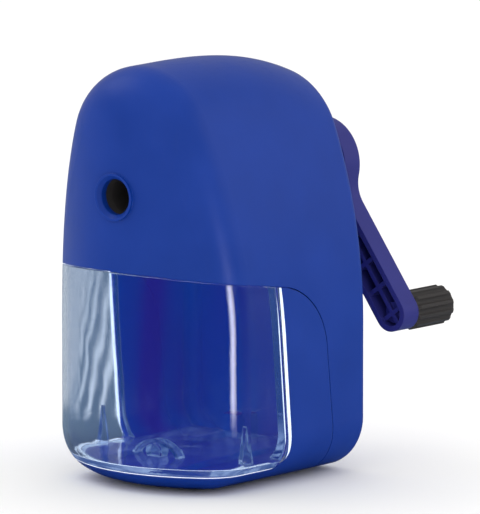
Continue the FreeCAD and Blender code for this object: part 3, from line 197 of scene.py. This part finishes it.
def rim_glow_share(graph):
    """1 on the drawer's narrow rims, where a painted bright line is drawn: the rear edges and the lower edge.
    """
    low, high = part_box("shavings_drawer")
    facing = graph.add("NewGeometry").outputs["True Normal"]
    place = graph.add("SeparateXYZ", {"Vector": graph.place}).outputs
    rearward = graph.remap(graph.size(graph.dot(facing, (0, 1, 0))), 0.80, 0.85, 0.0, 1.0)
    outside = graph.remap(graph.size(place["X"]), high.x - RIM_WIDTH - 0.1 * MM, high.x - RIM_WIDTH, 0.0, 1.0)
    downward = graph.remap(graph.size(graph.dot(facing, (0, 0, 1))), 0.25, 0.35, 0.0, 1.0)
    lowest = graph.remap(place["Z"], low.z + 0.1 * MM, low.z + 0.2 * MM, 1.0, 0.0)
    return graph.larger(graph.product(rearward, outside), graph.product(downward, lowest))


def painted_rim_glow(graph, haze):
    """Painted bright line: white matt plastic with a glow that stands in for the light that the wall carries to
    its edge.
    """
    glow = graph.remap(haze, 0.3, 0.7, 0.75, 1.05)
    return graph.add("BsdfPrincipled", {
        "Base Color": (0.85, 0.90, 0.97, 1.0), "Roughness": 0.6, "Emission Color": (0.90, 0.95, 1.0, 1.0),
        "Emission Strength": glow,
    })


def clear_plastic(name, colour):
    """Polished clear plastic: tinted, faintly wavy, and letting lamp light through to what is behind it.
    Rays caught between its faces end in a painted blue glow that stands in for the body around it, with a paler
    painted highlight low down among the ribs."""
    graph = Graph(name)
    wave = graph.noise(14 * MM, 1.0)
    haze = graph.noise(5 * MM, 4.0)
    scratch = graph.noise(0.5 * MM, 2.0, stretch=(1, 1, 0.05))
    roughness = graph.sum(
        graph.remap(haze, 0.45, 0.75, 0.02, 0.06),
        graph.remap(scratch, 0.68, 0.8, 0.0, 0.08),
    )
    normal = graph.bump(wave, 0.10 * MM, graph.rounded_normal(0.4 * MM))
    sockets = {"Base Color": colour, "Roughness": roughness, "Normal": normal, "IOR": 1.49}
    sockets["Transmission Weight"] = 1.0
    glass = graph.add("BsdfPrincipled", sockets)
    # The rims get a painted bright line in place of the clear plastic.
    plastic = graph.mix(rim_glow_share(graph), glass, painted_rim_glow(graph, haze))
    rays = graph.add("LightPath").outputs
    height = graph.add("SeparateXYZ", {"Vector": graph.place}).outputs["Z"]
    # Painted highlight: the glow of caught rays turns paler low down among the drawer's ribs.
    low_down = graph.remap(height, RIB_HIGHLIGHT_BELOW, RIBS_END_AT, 1.0, 0.0)
    rib_highlight_share = graph.product(low_down, graph.remap(haze, 0.40, 0.60, 0.1, 1.0))
    trapped_glow = graph.add("Emission", {"Color": graph.tint(rib_highlight_share, TRAPPED_LIGHT, RIB_LIGHT), "Strength": 1.0})
    caught = graph.remap(rays["Ray Depth"], TRAPPED_AFTER, TRAPPED_AFTER + 0.1, 0.0, 1.0)
    plastic = graph.mix(caught, plastic, trapped_glow)
    clear = graph.add("BsdfTransparent", {"Color": shade(colour, 0.96)})
    through = graph.larger(rays["Is Shadow Ray"], rays["Is Diffuse Ray"])
    return graph.finish(graph.mix(through, plastic, clear))


def metal(name, colour, roughness, stretch, depth):
    """Bare metal with brushed or cast texture, duller in patches."""
    graph = Graph(name)
    lines = graph.noise(0.25 * MM, 3.0, stretch)
    patch = graph.noise(3 * MM, 4.0)
    toned = graph.tint(graph.remap(patch, 0.35, 0.7, 0.0, 1.0), shade(colour, 0.85), shade(colour, 1.1))
    gloss = graph.sum(
        graph.remap(patch, 0.3, 0.7, roughness - 0.06, roughness + 0.1),
        graph.remap(lines, 0.4, 0.7, 0.0, 0.08),
    )
    normal = graph.bump(lines, depth, graph.rounded_normal(0.12 * MM))
    sockets = {"Base Color": toned, "Roughness": gloss, "Normal": normal, "Metallic": 1.0}
    return graph.finish(graph.add("BsdfPrincipled", sockets))


def rubber(name, colour):
    """Matt moulded rubber with dust in its grain."""
    graph = Graph(name)
    grain = graph.noise(0.4 * MM, 4.0)
    dust = graph.noise(2.5 * MM, 5.0)
    toned = graph.tint(graph.remap(dust, 0.5, 0.8, 0.0, 0.5), shade(colour, 1.0), shade(colour, 2.2))
    gloss = graph.remap(dust, 0.3, 0.7, 0.75, 0.92)
    normal = graph.bump(grain, 0.03 * MM, graph.rounded_normal(0.3 * MM))
    sockets = {"Base Color": toned, "Roughness": gloss, "Normal": normal}
    return graph.finish(graph.add("BsdfPrincipled", sockets))


BLUE_GLOW = (0.003, 0.042, 0.250, 1.0)
VIOLET_GLOW = (0.024, 0.010, 0.185, 1.0)
BRUSHED = (0.08, 1, 1)
CAST = (1, 1, 1)
FINISHES = {
    "body_plastic": moulded_plastic("blue_plastic", (0.003, 0.037, 0.290), 0.38, glow=(BLUE_GLOW, VIOLET_GLOW)),
    "crank_plastic": moulded_plastic("crank_plastic", (0.028, 0.030, 0.205), 0.40),
    "dark_plastic": moulded_plastic("black_plastic", (0.042, 0.038, 0.036), 0.46),
    "gear_plastic": moulded_plastic("acetal", (0.72, 0.71, 0.66), 0.42),
    "bearing_plastic": moulded_plastic("nylon", (0.74, 0.72, 0.64), 0.48),
    "clear_plastic": clear_plastic("clear_plastic", (0.78, 0.85, 0.94, 1.0)),
    "cast_metal": metal("zinc_casting", (0.50, 0.50, 0.52), 0.42, CAST, 0.02 * MM),
    "cutter_steel": metal("cutter_steel", (0.42, 0.42, 0.44), 0.28, BRUSHED, 0.006 * MM),
    "bright_steel": metal("zinc_plate", (0.62, 0.62, 0.64), 0.24, BRUSHED, 0.004 * MM),
    "soft_rubber": rubber("soft_rubber", (0.035, 0.035, 0.038)),
}


def dress_nodes():
    """Each carried-over node gets its slot's finish."""
    for part in frame["record"]["subparts"]:
        node = frame["nodes"][part["node"]]
        node.data.materials.clear()
        node.data.materials.append(FINISHES[part["material_slot"]])


# ---------------------------------------------------------------------- stage

def direction(azimuth, elevation):
    """From the object towards a point seen at this azimuth (0 in front, 90 on the right) and elevation."""
    turn, lift = math.radians(azimuth), math.radians(elevation)
    return Vector((math.sin(turn) * math.cos(lift), -math.cos(turn) * math.cos(lift), math.sin(lift)))


def mirrored_floor(graph, behind):
    """What clear and shiny surfaces see of the floor: a deep blue room on the camera's side, and on the far
    side a grey-blue one with a few pale stripes where the drawer's left end is looked through."""
    distance = graph.dot(graph.place, behind)
    sideways = graph.dot(graph.place, behind.cross(Vector((0, 0, 1))))
    stripes = graph.product(
        graph.remap(graph.wave(sideways, STRIPE_PERIOD), 0.1, 0.7, 0.0, 1.0),
        graph.remap(sideways, STRIPES_LEFT_OF - 2 * MM, STRIPES_LEFT_OF, 1.0, 0.0),
    )
    striped = graph.product(stripes, graph.remap(distance, STRIPES_BEYOND, STRIPES_BEYOND + 20 * MM, 0.0, 1.0))
    far = graph.tint(striped, MIRRORED_FAR, MIRRORED_STRIPE)
    return graph.tint(graph.remap(distance, -ROOM_BLEND, ROOM_BLEND, 0.0, 1.0), MIRRORED_ROOM, far)


def lit_lane(graph, start):
    """1 on the wedge of floor that lies at the lane's azimuth from a point, beyond its near end."""
    from_start = graph.add("VectorMath", {0: graph.place, 1: start}, operation="SUBTRACT").outputs["Vector"]
    unit = graph.add("VectorMath", {0: from_start}, operation="NORMALIZE").outputs["Vector"]
    away = graph.add("VectorMath", {0: from_start}, operation="LENGTH").outputs["Value"]
    aligned = graph.dot(unit, direction(LANE_AZIMUTH, 0))
    inner = math.cos(math.radians(LANE_HALF_ANGLE * 0.7))
    outer = math.cos(math.radians(LANE_HALF_ANGLE))
    across = graph.remap(aligned, outer, inner, 0.0, 1.0)
    return graph.product(across, graph.remap(away, LANE_NEAR, LANE_NEAR * 1.6, 0.0, 1.0))


def make_floor(middle, behind, reach=6.0):
    """A wide pale sheet under the object. One lane of it shines, for mirrored rays only, and draws the bright
    line on the drawer's right corner."""
    graph = Graph("pale_floor")
    fibre = graph.noise(3 * MM, 4.0)
    cloud = graph.noise(120 * MM, 2.0)
    pale = graph.tint(cloud, (0.965, 0.957, 0.950, 1), (0.985, 0.977, 0.970, 1))
    rays = graph.add("LightPath").outputs
    bent = graph.larger(rays["Is Glossy Ray"], rays["Is Transmission Ray"])
    tone = graph.tint(bent, pale, mirrored_floor(graph, behind))
    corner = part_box("shavings_drawer")[1]
    start = Vector((corner.x - middle.x, LANE_FROM_Y - middle.y, 0))
    lane = graph.product(lit_lane(graph, start), rays["Is Glossy Ray"])
    normal = graph.bump(fibre, 0.02 * MM, graph.add("NewGeometry").outputs["Normal"])
    sheet = graph.add("BsdfPrincipled", {
        "Base Color": tone, "Roughness": 0.7, "Normal": normal, "Emission Color": (1, 0.97, 0.98, 1),
        "Emission Strength": graph.remap(lane, 0.0, 1.0, 0.0, LANE_STRENGTH),
    })
    mesh = bpy.data.meshes.new("floor")
    grid = bmesh.new()
    bmesh.ops.create_grid(grid, x_segments=12, y_segments=12, size=reach)
    grid.to_mesh(mesh)
    grid.free()
    mesh.materials.append(graph.finish(sheet))
    floor = bpy.data.objects.new("floor", mesh)
    floor.location = (middle.x, middle.y, CAD_BOX[0].z)
    bpy.context.scene.collection.objects.link(floor)


def softbox(name, middle, azimuth, elevation, distance, width, height, radiance):
    """A rectangular lamp facing the object, as bright per area as the radiance says."""
    lamp = bpy.data.lights.new(name, "AREA")
    lamp.shape = "RECTANGLE"
    lamp.size = width
    lamp.size_y = height
    lamp.energy = radiance * width * height * math.pi
    box = bpy.data.objects.new(name, lamp)
    towards = direction(azimuth, elevation)
    box.location = middle + towards * distance
    box.rotation_mode = "QUATERNION"
    box.rotation_quaternion = towards.to_track_quat("Z", "Y")
    bpy.context.scene.collection.objects.link(box)


def make_world(behind, ambient, backdrop, bright):
    """Pale surroundings. Seen directly they are the backdrop; what is mirrored or seen through clear plastic
    is a deep blue room on the camera's side and a pale one behind the object."""
    world = bpy.data.worlds.new("studio")
    world.use_nodes = True
    tree = world.node_tree
    tree.nodes.clear()

    def add(kind, *sockets, **settings):
        node = tree.nodes.new("ShaderNode" + kind)
        for name, value in settings.items():
            setattr(node, name, value)
        for socket, value in zip(node.inputs, sockets):
            if isinstance(value, bpy.types.NodeSocket):
                tree.links.new(value, socket)
            else:
                socket.default_value = value
        return node

    rays = add("LightPath").outputs
    towards = add("TexCoord").outputs["Generated"]
    facing = add("VectorMath", towards, behind, operation="DOT_PRODUCT").outputs["Value"]
    ahead = add("MapRange", facing, -0.2, 0.7, 0.0, 1.0).outputs["Result"]
    mirrored = add("MixRGB", ahead, MIRRORED_ROOM, shade(WHITE, bright)).outputs["Color"]
    bent = add("Math", rays["Is Glossy Ray"], rays["Is Transmission Ray"], operation="MAXIMUM").outputs[0]
    plain = add("MixRGB", bent, shade(WHITE, ambient, 2.0), mirrored).outputs["Color"]
    seen = add("MixRGB", rays["Is Camera Ray"], plain, shade(WHITE, backdrop)).outputs["Color"]
    light = add("Background", seen, 1.0)
    add("OutputWorld", light.outputs[0])
    bpy.context.scene.world = world


def make_camera(middle, azimuth, elevation, distance, lens):
    data = bpy.data.cameras.new("camera")
    data.sensor_width = 36.0
    data.lens = lens
    camera = bpy.data.objects.new("camera", data)
    towards = direction(azimuth, elevation)
    camera.location = middle + towards * distance
    camera.rotation_mode = "QUATERNION"
    camera.rotation_quaternion = towards.to_track_quat("Z", "Y")
    bpy.context.scene.collection.objects.link(camera)
    bpy.context.scene.camera = camera


# The photo's viewing angle, and how far its middle lies from the object's.
VIEW = 40
RISE = 9
OFFSET = Vector((-0.4, -0.35, 0.65)) * MM

dress_nodes()
middle = (CAD_BOX[0] + CAD_BOX[1]) / 2
away = -direction(VIEW, 0)
make_floor(middle, away)
make_world(away, ambient=1.16, backdrop=0.95, bright=0.45)
softbox("key", middle, azimuth=-70, elevation=50, distance=0.75, width=0.45, height=0.45, radiance=0.95)
softbox("right_wall", middle, azimuth=128, elevation=22, distance=0.80, width=0.60, height=0.60, radiance=0.4)
make_camera(middle + OFFSET, azimuth=VIEW, elevation=RISE, distance=2.2, lens=580.0)
bpy.context.scene.view_settings.view_transform = "Standard"
